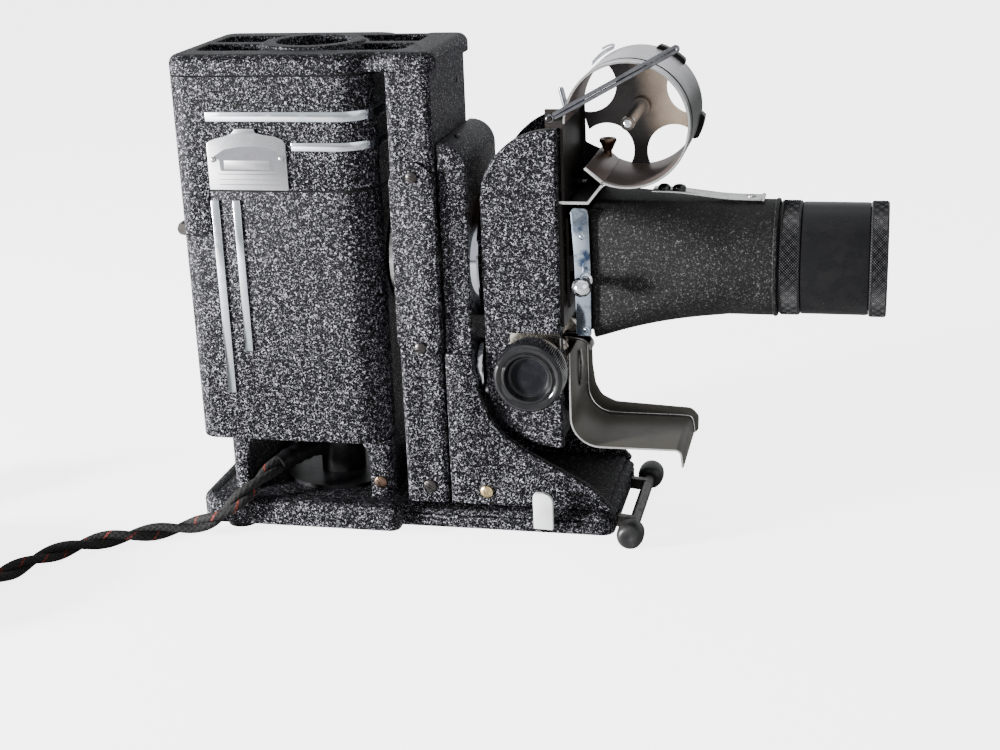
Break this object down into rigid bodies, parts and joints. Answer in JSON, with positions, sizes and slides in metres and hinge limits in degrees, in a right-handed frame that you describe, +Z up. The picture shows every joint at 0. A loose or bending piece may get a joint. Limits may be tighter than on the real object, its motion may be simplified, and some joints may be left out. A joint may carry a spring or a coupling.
{
  "type": "filmstrip projector",
  "caption": "Small black tabletop filmstrip projector: hooded lamphouse, condenser column, swivelling film head with knob, film drum, take-up chute, focusing lens and mains cord.",
  "frame": {"origin": "on the floor, under the middle of the part without its cord", "axes": "+X towards the lens, +Y away from the knob side, +Z up"},
  "size_m": [0.427, 0.2057, 0.1897],
  "materials": {
    "black_wrinkle": "crystal enamel with a fine bright speckle",
    "black_housing": "fine, duller crystal enamel",
    "black_satin": "satin",
    "bakelite": "gloss",
    "chrome": "polished plate",
    "polished_aluminium": "polished",
    "nickel": "nickel plate",
    "drum_paint": "satin grey enamel",
    "brass": "aged",
    "steel": "plain",
    "rubber": "matte",
    "white_plastic": "smooth",
    "clear_glass": "polished",
    "cord_braid": "braided cotton"
  },
  "bodies": {
    "stand": {"base_casting": "black_wrinkle", "lamp_stand": "black_wrinkle", "lamphouse_shell": "black_wrinkle", "condenser_column": "black_wrinkle", "column_strap": "black_wrinkle", "swivel_bracket": "black_wrinkle", "socket_column": "black_satin", "lamp_socket": "bakelite", "plug_body": "bakelite", "swivel_ring": "chrome", "lamp_reflector": "chrome", "shell_trim": "polished_aluminium", "lamp_filament": "nickel", "hinge_pin": "brass", "lamp_base": "brass", "plug_blades": "brass", "case_screws": "steel", "condenser_barrel": "steel", "base_pads": "rubber", "lamp_bulb": "clear_glass", "condenser_lenses": "clear_glass", "cord_run": "cord_braid", "cord_coil": "cord_braid"},
    "hood": {"hood_shell": "black_wrinkle", "hood_cap": "black_wrinkle", "hood_baffle": "black_satin", "hood_trim": "polished_aluminium", "nameplate": "polished_aluminium", "nameplate_rivets": "polished_aluminium"},
    "head": {"head_body": "black_wrinkle", "head_near_plate": "black_wrinkle", "head_far_plate": "black_wrinkle", "aperture_plate": "polished_aluminium", "gate_block": "black_satin", "film_guide": "drum_paint", "guide_springs": "chrome", "knob_plate": "chrome", "take_up_chute": "drum_paint", "film_drum": "drum_paint", "drum_back": "nickel", "drum_clips": "drum_paint", "lens_housing": "black_housing"},
    "advance": {"sprocket_shaft": "nickel", "film_sprocket": "nickel", "advance_knob": "bakelite"},
    "bail": {"film_bail": "chrome"},
    "gate_lever": {"gate_arm": "chrome", "gate_ball_stud": "chrome"},
    "pressure": {"pressure_plate": "polished_aluminium"},
    "lens": {"lens_barrel": "black_satin", "lens_rear_ring": "black_satin", "lens_front_ring": "black_satin", "lens_glasses": "clear_glass"},
    "lens_catch": {"lens_lever": "chrome", "lever_studs": "bakelite"},
    "tilt_foot": {"tilt_foot_bar": "steel", "tilt_foot_ends": "rubber", "tilt_tab": "white_plastic"},
    "thumb": {"thumb_screw": "brass"},
    "swivel_lock": {"lock_wheel": "chrome"}
  },
  "joints": [
    {"name": "hood_tilt", "type": "hinge", "parent": "stand", "child": "hood", "pos_m": [-0.1313, 0, 0.119], "axis": [0, -1, 0], "range_deg": [0, 95]},
    {"name": "head_swivel", "type": "hinge", "parent": "stand", "child": "head", "pos_m": [-0.014, 0, 0.107], "axis": [-1, 0, 0], "range_deg": [0, 90]},
    {"name": "knob_turn", "type": "hinge", "parent": "head", "child": "advance", "pos_m": [0.0067, 0, 0.0698], "axis": [0, 1, 0], "continuous": true},
    {"name": "bail_swing", "type": "hinge", "parent": "head", "child": "bail", "pos_m": [0.0145, 0, 0.1628], "axis": [0, -1, 0], "range_deg": [0, 60]},
    {"name": "gate_pull", "type": "hinge", "parent": "head", "child": "gate_lever", "pos_m": [0.024, 0, 0.084], "axis": [0, 1, 0], "range_deg": [0, 5], "stiffness_Nm_per_rad": 0.2},
    {"name": "pressure_slide", "type": "slide", "parent": "head", "child": "pressure", "axis": [1, 0, 0], "range_m": [0, 0.0015]},
    {"name": "lens_focus", "type": "slide", "parent": "head", "child": "lens", "axis": [1, 0, 0], "range_m": [0, 0.018]},
    {"name": "catch_lift", "type": "hinge", "parent": "head", "child": "lens_catch", "pos_m": [0.0892, 0, 0.1299], "axis": [0, 1, 0], "range_deg": [0, 2.2], "stiffness_Nm_per_rad": 0.2},
    {"name": "foot_tilt", "type": "hinge", "parent": "stand", "child": "tilt_foot", "pos_m": [0.01, 0, 0.0084], "axis": [0, 1, 0], "range_deg": [0, 25]},
    {"name": "thumb_turn", "type": "hinge", "parent": "head", "child": "thumb", "pos_m": [0.0292, 0.014, 0.146], "axis": [0, 0, 1], "continuous": true},
    {"name": "lock_turn", "type": "hinge", "parent": "stand", "child": "swivel_lock", "pos_m": [-0.016, -0.012, 0.0645], "axis": [1, 0, 0], "range_deg": [0, 120]}
  ],
  "couplings": [
    {"joint": "pressure_slide", "follows": "gate_pull", "m_per_rad": 0.0171}
  ]
}
